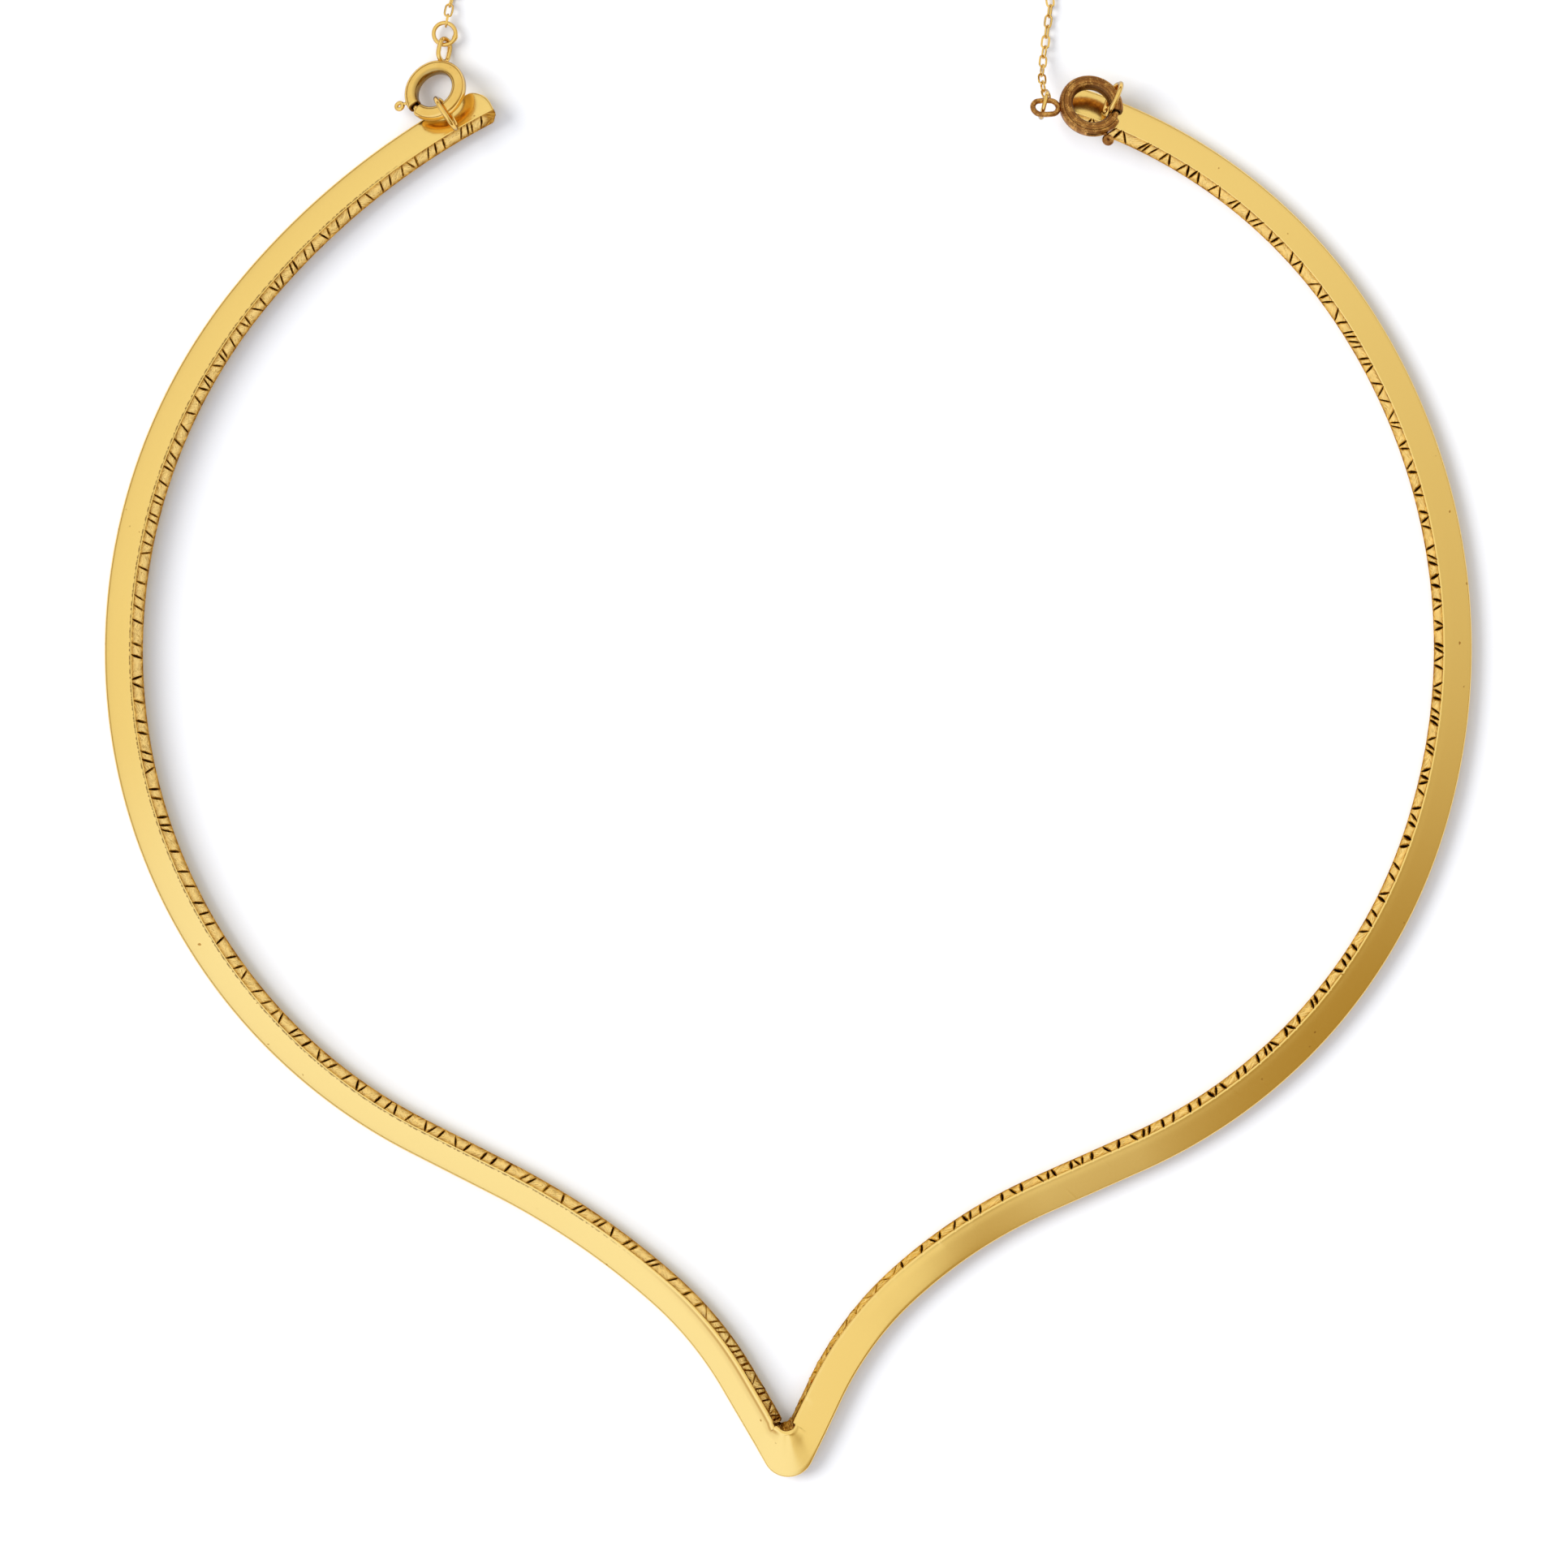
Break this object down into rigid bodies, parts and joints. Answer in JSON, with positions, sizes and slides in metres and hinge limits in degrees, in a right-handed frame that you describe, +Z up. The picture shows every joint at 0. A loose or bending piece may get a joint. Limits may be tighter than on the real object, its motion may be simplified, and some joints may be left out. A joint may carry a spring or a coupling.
{
  "type": "choker",
  "caption": "Rigid gold choker with a V front and a nicked inner edge, open at the back, closed by a fine cable chain on spring bolt rings.",
  "frame": {"origin": "centre of the bounding box, on the surface that the choker lies on", "axes": "+Z up from the surface, -Y towards the point of the V, +Y towards the chain, +X to the right seen from above"},
  "size_m": [0.1246, 0.1486, 0.0056],
  "materials": {
    "satin_gold": "satin gold, fine grain, warm brown in the cuts of the inner edge",
    "polished_gold": "polished gold",
    "aged_bronze": "dark patina, speckled, gold showing through where it is worn"
  },
  "bodies": {
    "choker": {"collar": "satin_gold", "left_clasp_ring": "polished_gold", "right_clasp_ring": "aged_bronze", "left_jump_ring": "polished_gold", "right_jump_ring": "polished_gold", "safety_chain": "polished_gold"},
    "left_bolt": {"left_clasp_bolt": "polished_gold"},
    "right_bolt": {"right_clasp_bolt": "aged_bronze"}
  },
  "joints": [
    {"name": "left_bolt_draw", "type": "hinge", "parent": "choker", "child": "left_bolt", "pos_m": [-0.03211, 0.052, 0.0022], "axis": [-0.3536, 0.3536, 0.866], "range_deg": [-28, 0], "stiffness_Nm_per_rad": 0.003, "springref_deg": 8.59},
    {"name": "right_bolt_draw", "type": "hinge", "parent": "choker", "child": "right_bolt", "pos_m": [0.02749, 0.05042, 0.00403], "axis": [0.1774, 0.3481, 0.9205], "range_deg": [-28, 0], "stiffness_Nm_per_rad": 0.003, "springref_deg": 8.59}
  ]
}
